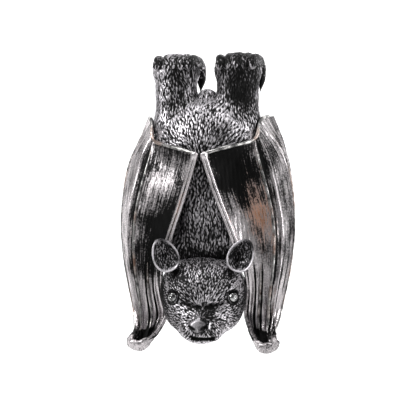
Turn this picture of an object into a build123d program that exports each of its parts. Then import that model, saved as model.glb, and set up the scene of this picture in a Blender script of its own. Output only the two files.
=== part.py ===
from build123d import *
import os

# A cast-metal hanging bat, made as separate castings that are studded, pinned and soldered together.
# The bat hangs head down by its toes, which hook backwards over a round rail or the rim of a pot.
# The figure is seen from its back: the wings are folded round the sides, and the head is lifted,
# so that the face looks out at the front with its ears upwards.
#
# Frame: the origin is on the axis of the rail, midway between the feet. +Z is up, -Y is the front,
# where the face looks, and +Y is the flat back. "left" is the -X side and "right" the +X side.

# ---- driving dimensions, in millimetres ----
rail_radius = 4.5  # of the rail or rim that the toes take
body_y = -16.5  # the plane of the legs' axes, which the figure is built about
back_y = -4.5  # the flat back of the torso and of the wings
wall = 3.0  # of the hollow castings

leg_x = 16.7
foot_top_z = 10.5
foot_pad_width = 20.0
foot_pad_z = -9.0  # the lowest point of the pad behind the ankle
toe_count = 5
toe_width = 4.4
toe_pitch = 4.7
toe_root = (body_y - 9, rail_radius)  # y and z, as the next two
knuckle = (9.6, 0.0)
claw_tip = (6.2, -9.0)

head_centre = (0, body_y - 12, -121.3)
head_radius = 22.3
head_back = body_y + 2  # the flat at the back of the head
muzzle_centre = (0, body_y - 28, -131.5)
muzzle_radius = 11.0
nostril_x, nostril_z, nostril_radius = 2.6, -129.5, 1.0
mouth_z, mouth_height = -138.0, 0.9
eye_centre = (14.7, body_y - 28.6, -118.9)
eye_radius = 2.8

ear_centre = (20.6, body_y - 25.0, -98.0)
ear_radius = 8.0
ear_wall = 1.5
ear_mouth = 1.5  # how far the rim lies in front of the ear's centre
peg_radius = 1.8
peg_end = (14.5, body_y - 15.0, -109.0)

web_thickness = 2.6
wing_top_z = -24.5
wing_tip = (36.5, -142.5)  # centre of the rounded tip, x and z
wing_tip_radius = 5.8
elbow = (2.8, -45.0)  # x and z
wrist = (18.0, -91.0)
forearm_y = (body_y - 22.6, body_y - 15.6)  # at the elbow and at the wrist
forearm_radius = 2.1
rib_radius = 1.3
bead_radius = 1.0
dowel_radius = 1.5
boss_radius = 4.0
boss_y = body_y + 3
boss_places = ((-52, 39.5), (-88, 44.8))  # height, and x of the wing's middle there

stud_radius = 2.5
stud_y = body_y - 6
stud_ends = (-86.0, -110.0)
leg_stud_x = 14.0
leg_stud_radius = 2.0
leg_stud_ends = (-6.0, -25.0)
leg_washer = (3.9, 0.8)  # radius and thickness
leg_nut = (3.5, 3.2)
neck_washer_size = (5.5, 1.2)
neck_nut_size = (4.0, 4.0)
cover_thickness = 2.5
cover_gap = 0.15
screw_radius = 1.25
screw_head_radius = 2.5
screw_length = 9.0
screw_places = ((-15, -34), (15, -34), (-13, -83), (13, -83))
post_radius = 3.2
post_end = body_y - 13.7  # inside the front wall
plug_radius = 8.0
plug_thickness = 2.0
pad_radius = 3.5
pad_thickness = 1.0
pad_places = ((-17, -47), (17, -47), (-16, -72), (16, -72))

tail_centre = (0, body_y - 1, -15.0)
tail_radius = 5.6

# The torso's outline at each height: height, half width, how far the front stands out of body_y.
torso_stations = (
    (-13, 11, 7),
    (-19, 23, 13),
    (-29, 29, 17.5),
    (-47, 31, 19),
    (-75, 31, 19),
    (-92, 26, 16),
    (-103, 19, 12),
)

# A leg's section at each height: height, radius along X, radius along Y.
leg_stations = (
    (-30, 11.3, 11.0),
    (-15, 10.3, 10.2),
    (-6, 10.5, 10.2),
    (0, 11.4, 10.6),
    (rail_radius, 12.0, 10.9),
)

# The wing's middle surface at each height, measured from body_y: how far its front stands out,
# then x and y of the ridge over the first finger, of the flank, and of the back edge.
wing_stations = (
    (-18, -17.0, (24.0, -13.0), (31.0, -2.0), (33.0, 12.0)),
    (-45, -21.5, (29.5, -14.5), (39.0, -3.0), (41.0, 12.0)),
    (-65, -21.0, (34.0, -12.0), (44.0, -1.0), (44.0, 12.0)),
    (-85, -18.0, (38.0, -11.0), (45.6, 0.0), (44.6, 12.0)),
    (-105, -14.5, (38.0, -11.0), (44.2, -0.5), (42.5, 11.5)),
    (-125, -10.0, (34.0, -9.5), (38.6, -1.0), (36.0, 8.0)),
    (-138, -11.0, (34.0, -13.0), (38.8, -7.0), (36.0, 2.0)),
    (-151, -16.0, (36.0, -19.0), (40.0, -14.0), (37.0, -6.0)),
)

# The wing's front edges as the eye meets them, x and z: the hem from the elbow up to the top
# corner, and the inner edge from the tip up past the head to the wrist.
hem_points = ((14.0, -41.6), (23.0, -37.5), (27.0, -31.5), (29.0, wing_top_z))
inner_edge = ((28.0, -136.0), (25.3, -126.0), (23.8, -114.0), (23.0, -103.0))


# Each finger's line on the wing: share round the wing, how it stands proud, its top and bottom.
finger_routes = (
    (1, (0.6, -0.9, 0), -35, -142),
    (2, (1.1, 0, 0), -30, -137),
    (0.8, (0.3, -2.2, 0), -75, -128),
)


def add_ball(centre, radius, mode=Mode.ADD):
    """Adds or cuts a ball."""
    with Locations(centre):
        Sphere(radius, mode=mode)


def cut_behind(y, height):
    """Cuts away everything near that height that lies behind the plane at y."""
    with Locations((0, y + 25, height)):
        Box(80, 50, 80, mode=Mode.SUBTRACT)


def add_bar(points, radius, bend):
    """Adds a round bar on straight runs that are joined by arcs of radius bend."""
    with BuildLine() as route:
        FilletPolyline(*points, radius=bend)
    with BuildSketch(Plane(route.line @ 0, z_dir=route.line % 0)) as section:
        Circle(radius)
    sweep(section.sketch, path=route.line)


def add_rod(start, end, radius, mode=Mode.ADD):
    """Adds or cuts a straight round rod between two points."""
    axis = Vector(*end) - Vector(*start)
    with Locations(Plane(start, z_dir=axis)):
        Cylinder(radius, axis.length, align=(Align.CENTER, Align.CENTER, Align.MIN), mode=mode)


def torso_outline(half_width, depth, back):
    """A D-shaped outline: a half ellipse in front of body_y and a flat back."""
    with BuildLine() as outline:
        EllipticalCenterArc((0, body_y), half_width, depth, start_angle=180, arc_size=180)
        Polyline(
            (half_width, body_y),
            (half_width - wall, back),
            (wall - half_width, back),
            (-half_width, body_y),
        )
    make_face(outline.edges())


def wing_outline(station):
    """A strip round one side, whose two faces lie either side of the wing's middle surface."""
    _, front, ridge, flank, back = station
    stops = ((0, front), ridge, flank, back)
    outwards = ((0, -1), (0.6, -0.8), (1, 0), (1, 0))
    out_tangent, back_tangent = (1, 0), (back[0] - flank[0], back[1] - flank[1])
    outer, inner = (
        [
            (stop[0] + reach * way[0], body_y + stop[1] + reach * way[1])
            for stop, way in zip(stops, outwards)
        ]
        for reach in (web_thickness / 2, -web_thickness / 2)
    )
    with BuildLine() as outline:
        Spline(*outer, tangents=(out_tangent, back_tangent))
        Line(outer[-1], inner[-1])
        Spline(*inner, tangents=(out_tangent, back_tangent))
        Line(inner[0], outer[0])
    make_face(outline.edges())


def on_wing(height, share):
    """A point on the wing's middle surface: share 0 is the middle line, 1 the ridge, 2 the flank."""
    lower = next(i for i, station in enumerate(wing_stations) if station[0] <= height)
    above, below = wing_stations[lower - 1], wing_stations[lower]
    part = (height - above[0]) / (below[0] - above[0])
    first = min(int(share), 2)
    spots = []
    for _, front, ridge, flank, back in (above, below):
        start, end = ((0, front), ridge, flank, back)[first : first + 2]
        spots.append(Vector(*start) + (Vector(*end) - Vector(*start)) * (share - first))
    spot = spots[0] + (spots[1] - spots[0]) * part
    return Vector(spot.X, body_y + spot.Y, height)


def wing_front(x, height):
    """A point on the wing's middle surface between the middle line and the ridge, at that x."""
    ridge_x = on_wing(height, 1).X
    return on_wing(height, min(x / ridge_x, 1))


def other_side(piece):
    """The same piece on the other side of the figure."""
    with BuildPart() as mirrored:
        mirror(piece, about=Plane.YZ)
    return mirrored.part


def write_piece(piece, name):
    """Labels a finished piece and writes its STEP file."""
    piece.label = name
    export_step(piece, f"parts/{name}.step")


def write_pair(piece, name):
    """Writes a finished piece of the right side and its twin on the left."""
    write_piece(piece, f"right_{name}")
    write_piece(other_side(piece), f"left_{name}")


os.makedirs("parts", exist_ok=True)

# ---- head, ears and eyes ----
with BuildPart() as head_form:
    add_ball(head_centre, head_radius)
    add_ball(muzzle_centre, muzzle_radius)
    cut_behind(head_back, head_centre[2])

with BuildPart() as right_ear:
    add_ball(ear_centre, ear_radius)
    add_ball(ear_centre, ear_radius - ear_wall, mode=Mode.SUBTRACT)
    split(bisect_by=Plane.XZ.offset(ear_mouth - ear_centre[1]), keep=Keep.BOTTOM)
    add(head_form.part, mode=Mode.SUBTRACT)
    ear_root = (ear_centre[0] - 4.0, ear_centre[1] + 4.4, ear_centre[2] - 4.4)
    add_rod(ear_root, peg_end, peg_radius)
write_pair(right_ear.part, "ear")

with BuildPart() as right_eye:
    add_ball(eye_centre, eye_radius)
write_pair(right_eye.part, "eye")

with BuildPart() as head_plug:
    plug_start = (0, head_back - plug_thickness, head_centre[2])
    add_rod(plug_start, (0, head_back, head_centre[2]), plug_radius)
write_piece(head_plug.part, "head_plug")

with BuildPart() as neck_stud:
    add_rod((0, stud_y, stud_ends[0]), (0, stud_y, stud_ends[1]), stud_radius)
write_piece(neck_stud.part, "neck_stud")

with BuildPart() as head_hollow:
    add_ball(head_centre, head_radius - wall)
    cut_behind(head_back - wall, head_centre[2])
    # A boss under the crown is left standing to hold the neck stud.
    boss_end = (0, stud_y, stud_ends[1] - 3)
    crown = (0, stud_y, head_centre[2] + head_radius)
    add_rod(crown, boss_end, stud_radius + 2.5, Mode.SUBTRACT)

with BuildPart() as head_shell:
    add(head_form.part)
    add(head_hollow.part, mode=Mode.SUBTRACT)
    add(neck_stud.part, mode=Mode.SUBTRACT)
    # The core hole at the back takes the plug.
    hole_start = (0, head_back - wall - 1, head_centre[2])
    add_rod(hole_start, (0, head_back + 1, head_centre[2]), plug_radius, Mode.SUBTRACT)
    # Sockets for the eyes and ears, nostrils, and the slit of the mouth.
    nose_y = muzzle_centre[1] - muzzle_radius
    for side in (-1, 1):
        socket = (side * eye_centre[0], eye_centre[1], eye_centre[2])
        add_ball(socket, eye_radius, mode=Mode.SUBTRACT)
        nostril = (side * nostril_x, nose_y - 1, nostril_z), (side * nostril_x, nose_y + 3, nostril_z)
        add_rod(*nostril, nostril_radius, Mode.SUBTRACT)
    add(right_ear.part, mode=Mode.SUBTRACT)
    add(other_side(right_ear.part), mode=Mode.SUBTRACT)
    with Locations((0, nose_y, mouth_z)):
        Box(14, 10, mouth_height, mode=Mode.SUBTRACT)
write_piece(head_shell.part, "head_shell")

# ---- legs and toes ----
with BuildPart() as leg_form:
    for height, radius_x, radius_y in leg_stations:
        with BuildSketch(Plane.XY.offset(height)):
            with Locations((leg_x, body_y)):
                Ellipse(radius_x, radius_y)
    loft()
    # The pad behind the ankle carries the front quarter of the rail's seat.
    with BuildSketch(Plane.YZ.offset(leg_x - foot_pad_width / 2)):
        with BuildLine():
            CenterArc((0, 0), rail_radius, 90, 90)
            Polyline(
                (-rail_radius, 0),
                (-rail_radius, foot_pad_z + 3),
                (body_y + 8, foot_pad_z),
                (body_y, rail_radius),
                (0, rail_radius),
            )
        make_face()
    extrude(amount=foot_pad_width)

with BuildPart() as right_toes:
    for toe in range(toe_count):
        toe_x = leg_x + (toe - (toe_count - 1) / 2) * toe_pitch - toe_width / 2
        with BuildSketch(Plane.YZ.offset(toe_x)):
            with BuildLine():
                CenterArc((0, 0), rail_radius, 0, 90)
                Line((0, rail_radius), toe_root)
                TangentArc((body_y - 1, foot_top_z), toe_root, tangent=(-1, 0))
                Line((body_y - 1, foot_top_z), (0, foot_top_z))
                TangentArc((0, foot_top_z), knuckle, tangent=(1, 0))
                Polyline(knuckle, claw_tip, (rail_radius, 0))
            make_face()
        extrude(amount=toe_width)
write_pair(right_toes.part, "toes")

# ---- torso, its cover and what holds the castings together ----
with BuildPart() as torso_form:
    for height, half_width, depth in torso_stations:
        with BuildSketch(Plane.XY.offset(height)):
            torso_outline(half_width, depth, back_y)
    loft()

hollow_stations = torso_stations[1:-1]
ceiling_z, floor_z = hollow_stations[0][0], hollow_stations[-1][0]

with BuildPart() as back_cover:
    # The plate fills the mouth of the hollow, flush with the back.
    for height, half_width, depth in hollow_stations:
        with BuildSketch(Plane.XY.offset(height)):
            torso_outline(half_width - wall - cover_gap, depth - wall, back_y + 1)
    loft()
    split(bisect_by=Plane.XZ.offset(-back_y), keep=Keep.TOP)
    split(bisect_by=Plane.XZ.offset(cover_thickness - back_y), keep=Keep.BOTTOM)
    with Locations(Plane((0, back_y, 0), x_dir=(1, 0, 0), z_dir=(0, 1, 0))):
        with Locations(*[(x, -z) for x, z in screw_places]):
            CounterSinkHole(screw_radius, screw_head_radius, counter_sink_angle=90)
write_piece(back_cover.part, "back_cover")

with BuildPart() as cover_screws:
    sink = screw_head_radius - screw_radius
    for x, z in screw_places:
        with Locations(Location((x, back_y, z), (90, 0, 0))):
            Cone(screw_head_radius, screw_radius, sink, align=(Align.CENTER,) * 2 + (Align.MIN,))
            Cylinder(screw_radius, screw_length, align=(Align.CENTER,) * 2 + (Align.MIN,))
write_piece(cover_screws.part, "cover_screws")

with BuildPart() as leg_studs:
    for x in (-leg_stud_x, leg_stud_x):
        add_rod((x, body_y, leg_stud_ends[0]), (x, body_y, leg_stud_ends[1]), leg_stud_radius)
write_piece(leg_studs.part, "leg_studs")


with BuildPart() as leg_washers:
    for x in (-leg_stud_x, leg_stud_x):
        with BuildSketch(Plane((x, body_y, ceiling_z - leg_washer[1]))):
            Circle(leg_washer[0])
            Circle(leg_stud_radius, mode=Mode.SUBTRACT)
        extrude(amount=leg_washer[1])
write_piece(leg_washers.part, "leg_washers")

with BuildPart() as leg_nuts:
    for x in (-leg_stud_x, leg_stud_x):
        with BuildSketch(Plane((x, body_y, ceiling_z - leg_washer[1] - leg_nut[1]))):
            RegularPolygon(leg_nut[0], 6, major_radius=False)
            Circle(leg_stud_radius, mode=Mode.SUBTRACT)
        extrude(amount=leg_nut[1])
write_piece(leg_nuts.part, "leg_nuts")

with BuildPart() as neck_washer:
    with BuildSketch(Plane((0, stud_y, floor_z))):
        Circle(neck_washer_size[0])
        Circle(stud_radius, mode=Mode.SUBTRACT)
    extrude(amount=neck_washer_size[1])
write_piece(neck_washer.part, "neck_washer")

with BuildPart() as neck_nut:
    with BuildSketch(Plane((0, stud_y, floor_z + neck_washer_size[1]))):
        RegularPolygon(neck_nut_size[0], 6, major_radius=False)
        Circle(stud_radius, mode=Mode.SUBTRACT)
    extrude(amount=neck_nut_size[1])
write_piece(neck_nut.part, "neck_nut")

# ---- wings ----
with BuildPart() as right_wing_form:
    for station in wing_stations:
        with BuildSketch(Plane.XY.offset(station[0])):
            wing_outline(station)
    loft()
    with BuildSketch(Plane.XZ):
        with BuildLine():
            tip_right = (wing_tip[0] + wing_tip_radius, wing_tip[1])
            tip_left = (wing_tip[0] - wing_tip_radius, wing_tip[1])
            Spline(elbow, *hem_points)
            Polyline(hem_points[-1], (55, wing_top_z), (55, tip_right[1] + 12), tip_right)
            RadiusArc(tip_right, tip_left, wing_tip_radius)
            Spline(tip_left, *inner_edge, wrist)
            Line(wrist, elbow)
        make_face()
    extrude(amount=60, both=True, mode=Mode.INTERSECT)

with BuildPart() as right_forearm:
    joints = [(x, y, z) for (x, z), y in zip((elbow, wrist), forearm_y)]
    add_rod(*joints, forearm_radius)
    for joint in joints:
        add_ball(joint, forearm_radius * 1.15)
write_pair(right_forearm.part, "forearm")

with BuildPart() as right_web_edge:
    hem = [wing_front(*elbow)] + [wing_front(*point) for point in hem_points[:-1]]
    hem += [on_wing(wing_top_z - 0.5, 1.6), on_wing(wing_top_z - 0.5, 2.2)]
    add_bar([point + Vector(0, -1, 0) for point in hem], bead_radius, 2.5)
    add(right_forearm.part, mode=Mode.SUBTRACT)
write_pair(right_web_edge.part, "web_edge")

with BuildPart() as right_finger_ribs:
    for share, outwards, top, bottom in finger_routes:
        heights = [station[0] for station in wing_stations if bottom < station[0] < top]
        route = [on_wing(height, share) + Vector(*outwards) for height in (top, *heights, bottom)]
        add_bar(route, rib_radius, 12)
    add(right_web_edge.part, mode=Mode.SUBTRACT)
write_pair(right_finger_ribs.part, "finger_ribs")

with BuildPart() as right_wing_dowels:
    for height, x in boss_places:
        add_rod((x - 8, boss_y, height), (x + 0.3, boss_y, height), dowel_radius)
write_pair(right_wing_dowels.part, "wing_dowels")

with BuildPart() as right_wing_web:
    add(right_wing_form.part)
    for piece in (right_forearm, right_web_edge, right_finger_ribs, right_wing_dowels, right_ear):
        add(piece.part, mode=Mode.SUBTRACT)
write_pair(right_wing_web.part, "wing_web")

# ---- the torso and the legs, cut to fit the rest ----
with BuildPart() as torso_hollow:
    for height, half_width, depth in hollow_stations:
        with BuildSketch(Plane.XY.offset(height)):
            torso_outline(half_width - wall, depth - wall, back_y + 1)
    loft()

with BuildPart() as torso_shell:
    add(torso_form.part)
    add_ball(tail_centre, tail_radius)
    add(torso_hollow.part, mode=Mode.SUBTRACT)
    for x, z in screw_places:
        add_rod((x, back_y - cover_thickness, z), (x, post_end, z), post_radius)
    for height, x in boss_places:
        for side in (-1, 1):
            add_rod((side * 28, boss_y, height), (side * x, boss_y, height), boss_radius)
    add(head_form.part, mode=Mode.SUBTRACT)
    for piece in (right_wing_form, right_wing_dowels, right_forearm):
        add(piece.part, mode=Mode.SUBTRACT)
        add(other_side(piece.part), mode=Mode.SUBTRACT)
    for piece in (cover_screws, leg_studs, neck_stud):
        add(piece.part, mode=Mode.SUBTRACT)
write_piece(torso_shell.part, "torso_shell")

with BuildPart() as right_leg:
    add(leg_form.part)
    add(torso_form.part, mode=Mode.SUBTRACT)
    add(leg_studs.part, mode=Mode.SUBTRACT)
write_pair(right_leg.part, "leg")

with BuildPart() as back_pads:
    for x, z in pad_places:
        add_rod((x, back_y, z), (x, back_y + pad_thickness, z), pad_radius)
write_piece(back_pads.part, "back_pads")
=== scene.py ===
import math

import bpy
import numpy as np
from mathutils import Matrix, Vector


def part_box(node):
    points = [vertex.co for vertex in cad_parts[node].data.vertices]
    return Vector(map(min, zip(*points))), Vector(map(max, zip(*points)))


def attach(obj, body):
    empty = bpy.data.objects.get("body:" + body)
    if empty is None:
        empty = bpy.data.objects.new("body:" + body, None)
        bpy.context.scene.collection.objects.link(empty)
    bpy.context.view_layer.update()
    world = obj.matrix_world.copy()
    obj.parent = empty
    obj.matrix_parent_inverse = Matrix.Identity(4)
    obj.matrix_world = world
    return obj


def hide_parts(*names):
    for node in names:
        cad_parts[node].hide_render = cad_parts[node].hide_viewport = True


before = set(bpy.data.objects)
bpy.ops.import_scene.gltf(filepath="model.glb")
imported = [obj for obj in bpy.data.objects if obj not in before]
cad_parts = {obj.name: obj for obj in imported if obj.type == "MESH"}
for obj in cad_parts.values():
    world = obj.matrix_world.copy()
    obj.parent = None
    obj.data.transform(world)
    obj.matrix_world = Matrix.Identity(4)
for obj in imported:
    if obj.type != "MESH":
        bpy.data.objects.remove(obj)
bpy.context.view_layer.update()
print("frame loaded")

mm = 0.001  # shapes are worked out in millimetres and stored in metres
sides = ((-1, "left"), (1, "right"))


def span(node):
    # lowest and highest corner of a CAD node, in millimetres
    low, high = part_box(node)
    return np.array(low) / mm, np.array(high) / mm


def middle(node):
    low, high = span(node)
    return (low + high) / 2


bodyY = middle("leg_studs")[1]  # plane of the legs' axes
backY = span("torso_shell")[1][1]  # flat back
legX = middle("right_toes")[0]
headZ = middle("head_plug")[2]
headBack = span("head_plug")[1][1]

# degrees and millimetres; the camera aims aside of the middle, in the plane of the legs
view = {"azimuth": 9.5, "distance": 592.6, "lens": 100, "targetZ": -68.3, "aside": -3.7}


def setCamera():
    turn = math.radians(view["azimuth"])
    right = Vector((math.cos(turn), math.sin(turn), 0))
    back = Vector((math.sin(turn), -math.cos(turn), 0))
    target = Vector((0, bodyY, view["targetZ"])) + right * view["aside"]
    data = bpy.data.cameras.new("camera")
    data.lens, data.sensor_width = view["lens"], 36
    data.clip_start = 0.01
    camera = bpy.data.objects.new("camera", data)
    bpy.context.scene.collection.objects.link(camera)
    camera.location = (target + back * view["distance"]) * mm
    camera.rotation_euler = back.to_track_quat("Z", "Y").to_euler()
    bpy.context.scene.camera = camera


def addLight(name, place, aim, size, power):
    data = bpy.data.lights.new(name, "AREA")
    data.shape, data.size, data.size_y = "RECTANGLE", size[0], size[1]
    data.energy = power
    light = bpy.data.objects.new(name, data)
    bpy.context.scene.collection.objects.link(light)
    light.location = place
    light.rotation_euler = (Vector(place) - Vector(aim)).to_track_quat("Z", "Y").to_euler()


setCamera()


class Wire:
    # an output socket that takes part in arithmetic
    def __init__(self, graph, socket):
        self.graph, self.socket = graph, socket

    def also(self, key):
        return Wire(self.graph, pick(self.socket.node.outputs, key))

    def maths(self, operation, *values):
        return self.graph.add("ShaderNodeMath", {"operation": operation}, dict(enumerate(values)))

    def __add__(self, other):
        return self.maths("ADD", self, other)

    def __sub__(self, other):
        return self.maths("SUBTRACT", self, other)

    def __rsub__(self, other):
        return self.maths("SUBTRACT", other, self)

    def __mul__(self, other):
        return self.maths("MULTIPLY", self, other)

    def __truediv__(self, other):
        return self.maths("DIVIDE", self, other)

    def __pow__(self, other):
        return self.maths("POWER", self, other)

    __radd__, __rmul__ = __add__, __mul__

    def atLeast(self, other):
        return self.maths("MAXIMUM", self, other)

    def vector(self, operation, other=None, key=1, out="Vector"):
        values = {0: self} if other is None else {0: self, key: other}
        return self.graph.add("ShaderNodeVectorMath", {"operation": operation}, values, out)

    def dot(self, other):
        return self.vector("DOT_PRODUCT", other, out="Value")

    def stretched(self, by):
        return self.vector("MULTIPLY", by)

    def scaled(self, by):
        return self.vector("SCALE", by, "Scale")


def pick(sockets, key):
    if isinstance(key, int):
        return sockets[key]
    return next(s for s in sockets if s.identifier == key or (s.name == key and s.enabled))


class Graph:
    def __init__(self, tree):
        self.tree = tree

    def add(self, kind, settings=None, values=None, out=0):
        node = self.tree.nodes.new(kind)
        for key, value in (settings or {}).items():
            setattr(node, key, value)
        for key, value in (values or {}).items():
            socket = pick(node.inputs, key)
            if isinstance(value, Wire):
                self.tree.links.new(value.socket, socket)
            else:
                socket.default_value = value
        if not node.outputs:
            return None
        return Wire(self, pick(node.outputs, out))

    def mixed(self, factor, a, b):
        values = {"Factor_Float": factor, "A_Color": a, "B_Color": b}
        return self.add("ShaderNodeMix", {"data_type": "RGBA"}, values, "Result_Color")

    def ranged(self, value, low, high):
        # 0 below low, 1 above high and an even ease between them
        values = {0: value, 1: low, 2: high}
        return self.add("ShaderNodeMapRange", {"interpolation_type": "SMOOTHSTEP"}, values)

    def attribute(self, name, out="Fac"):
        return self.add("ShaderNodeAttribute", {"attribute_name": name}, None, out)

    def noise(self, coords, scale, detail=2.0, roughness=0.5):
        values = {"Vector": coords, "Scale": scale, "Detail": detail, "Roughness": roughness}
        return self.add("ShaderNodeTexNoise", None, values)


def grey(value, warmth=0.0):
    return (value * (1 + warmth), value, value * (1 - warmth), 1)


def tinted(value, tint):
    return (value * tint[0], value * tint[1], value * tint[2], 1)


def newMaterial(name):
    material = bpy.data.materials.new(name)
    material.use_nodes = True
    material.node_tree.nodes.clear()
    graph = Graph(material.node_tree)
    return material, graph, graph.add("ShaderNodeTexCoord", None, None, "Object")


def finishMaterial(graph, values):
    shader = graph.add("ShaderNodeBsdfPrincipled", None, values)
    graph.add("ShaderNodeOutputMaterial", None, {"Surface": shader})


def bumped(graph, height, strength, distance=0.0001):
    values = {"Strength": strength, "Distance": distance, "Height": height}
    return graph.add("ShaderNodeBump", None, values)


# dark and bright are the patina in the hollows and the burnished metal on the ridges, and rough has a value
# for each;
# mixRange is the range of the mark, made of the relief and of the painted light and shade in tone, over which
# one turns into the other
furSilver = {
    "dark": 0.004, "bright": 0.86, "tint": (1.02, 0.98, 1.03), "mixRange": (0.47, 0.94), "rough": (0.5, 0.34),
    "cloudScale": 90, "gritScale": 1400, "grit": 0.25,
}
webSilver = {
    "dark": 0.003, "bright": 0.82, "tint": (1.03, 0.97, 0.99), "mixRange": (0.12, 0.95), "rough": (0.5, 0.27),
    "copper": (0.8, 0.42, 0.27, 1), "cloudScale": 70, "pitScale": 1100,
    "streaks": (1.5, 0.05, 1), "fineStreaks": (4.5, 0.25, 1),  # per millimetre across and along the web
}


def silver(graph, brightShare, style):
    dark, bright = style["rough"]
    colour = graph.mixed(brightShare, grey(style["dark"]), tinted(style["bright"], style["tint"]))
    return colour, dark + brightShare * (bright - dark)


def furMaterial(name, style):
    material, graph, coords = newMaterial(name)
    relief, tone = graph.attribute("relief"), graph.attribute("tone")
    cloud = graph.noise(coords, style["cloudScale"], 3)
    grit = graph.noise(coords, style["gritScale"], 2)
    # besides the relief and the grit, the mark carries the painted light and shade of the tone
    mark = relief * (0.75 + 0.5 * cloud) + (grit - 0.5) * style["grit"] + (tone - 0.8) * 0.5
    brightShare = graph.ranged(mark, *style["mixRange"])
    brightShare = brightShare * brightShare * (0.3 + 0.7 * tone)  # parts with painted shade stay dull even where they are rubbed
    colour, rough = silver(graph, brightShare, style)
    bump = bumped(graph, grit, 0.35)
    finishMaterial(graph, {
        "Base Color": colour, "Metallic": 0.45 + 0.5 * brightShare, "Roughness": rough, "Normal": bump,
        "Specular IOR Level": 0.2,
    })
    return material


def webMaterial(name, style):
    material, graph, coords = newMaterial(name)
    relief, tone, warm = (graph.attribute(word) for word in ("relief", "tone", "warm"))
    grain = graph.attribute("grain", "Vector")
    streak = graph.noise(grain.stretched(style["streaks"]), 1.0, 4, 0.6)
    fine = graph.noise(grain.stretched(style["fineStreaks"]), 1.0, 2, 0.6)
    pitted = graph.noise(coords, style["pitScale"], 2)
    cloud = graph.noise(coords, style["cloudScale"], 3)
    mark = relief * 0.75 + (streak - 0.5) * 1.7 + (fine - 0.5) * 0.9 + (pitted - 0.5) * 0.9
    # the tone brings its painted light and shade into the mix
    brightShare = graph.ranged(mark + (cloud - 0.5) * 0.9 + (tone - 0.5) * 1.5, *style["mixRange"])
    colour, rough = silver(graph, brightShare, style)
    glow = graph.ranged(streak * 2.0 + (fine - 0.5) * 3.0 + warm - 1.2, 0.35, 0.95) * warm
    colour = graph.mixed(glow * brightShare, colour, style["copper"])
    bump = bumped(graph, streak + fine * 0.4 + pitted * 0.3, 0.5, 0.00025)
    finishMaterial(graph, {
        "Base Color": colour, "Metallic": 0.5 + 0.5 * brightShare, "Roughness": rough, "Normal": bump,
        "Specular IOR Level": 0.15,
    })
    return material


def plainMetal(name, dark, bright, rough, scale, warmth=0.0, stain=0.0):
    # cast or turned metal with tarnish in soft clouds and fine scratches
    material, graph, coords = newMaterial(name)
    cloud = graph.noise(coords, scale, 4, 0.6)
    scratch = graph.noise(coords.stretched((1, 1, 0.08)), scale * 22, 2)
    brightShare = graph.ranged(cloud + (scratch - 0.5) * 0.5, 0.35, 0.7)
    colour = graph.mixed(brightShare, grey(dark), grey(bright, warmth))
    if stain:
        patch = graph.ranged(graph.noise(coords, 60, 2), 0.5, 0.66) * stain
        colour = graph.mixed(patch, colour, webSilver["copper"])
    finishMaterial(graph, {
        "Base Color": colour, "Metallic": 1.0, "Roughness": rough + (1 - brightShare) * 0.2,
        "Normal": bumped(graph, scratch, 0.2),
    })
    return material


def rubberMaterial():
    material, graph, coords = newMaterial("padRubber")
    grit = graph.noise(coords, 2500, 3)
    colour = graph.mixed(grit, grey(0.02), grey(0.05))
    rough = 0.75 + 0.15 * grit
    finishMaterial(graph, {"Base Color": colour, "Roughness": rough, "Normal": bumped(graph, grit, 0.3)})
    return material


furMetal = furMaterial("furSilver", furSilver)
webMetal = webMaterial("webSilver", webSilver)
edgeMetal = plainMetal("edgeSilver", dark=0.06, bright=0.8, rough=0.24, scale=260, warmth=0.02, stain=0.22)
eyeMetal = plainMetal("eyeSilver", dark=0.04, bright=0.7, rough=0.08, scale=420)
plateMetal = plainMetal("plateSilver", dark=0.1, bright=0.4, rough=0.32, scale=120)
steelMetal = plainMetal("zincSteel", dark=0.35, bright=0.62, rough=0.25, scale=300, warmth=0.03)
padRubber = rubberMaterial()
print("materials made")


def ball(p, centre, radii, power=2.0):
    # like every field here, below 0 inside the shape and 0 on its surface
    radii = np.array(radii, float)
    reach = (np.abs((p - np.array(centre)) / radii) ** power).sum(-1) ** (1 / power)
    return (reach - 1) * radii.min()


def rod(p, a, b, startRadius, endRadius):
    a, b = np.array(a, float), np.array(b, float)
    run = b - a
    t = np.clip(((p - a) @ run) / (run @ run), 0, 1)
    away = np.linalg.norm(p - a - t[..., None] * run, axis=-1)
    return away - (startRadius + (endRadius - startRadius) * t)


def ring(p, centre, axis, radius, thickness):
    q = p - np.array(centre)
    axis = np.array(axis) / np.linalg.norm(axis)
    height = q @ axis
    out = np.linalg.norm(q - height[..., None] * axis, axis=-1)
    return np.hypot(out - radius, height) - thickness


def fuse(a, b, soft):
    h = np.clip(0.5 + 0.5 * (b - a) / soft, 0, 1)
    return b + (a - b) * h - soft * h * (1 - h)


def carve(a, b, soft):
    return -fuse(-a, b, soft)


def smooth(value, low, high):
    t = np.clip((value - low) / (high - low), 0, 1)
    return t * t * (3 - 2 * t)


def bell(value):
    return np.exp(-value * value)


def spots(x, z, table):
    # soft oval patches; a row gives how strong, the centre and the two half sizes
    return sum(
        strong * bell(np.hypot((x - midX) / wide, (z - midZ) / tall))
        for strong, midX, midZ, wide, tall in table
    )


def sway(p, size, seed=0.0):
    # a soft pseudo-random wave through space, between about -1 and 1
    q = p / size
    return (
        np.sin(q[..., 0] * 1.7 + q[..., 2] * 1.1 + seed)
        + np.sin(q[..., 1] * 1.3 - q[..., 2] * 1.9 + seed * 2.3)
        + np.sin(q[..., 0] * 0.9 - q[..., 1] * 1.6 + q[..., 2] * 0.7 + seed * 3.1)
    ) / 3


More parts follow.
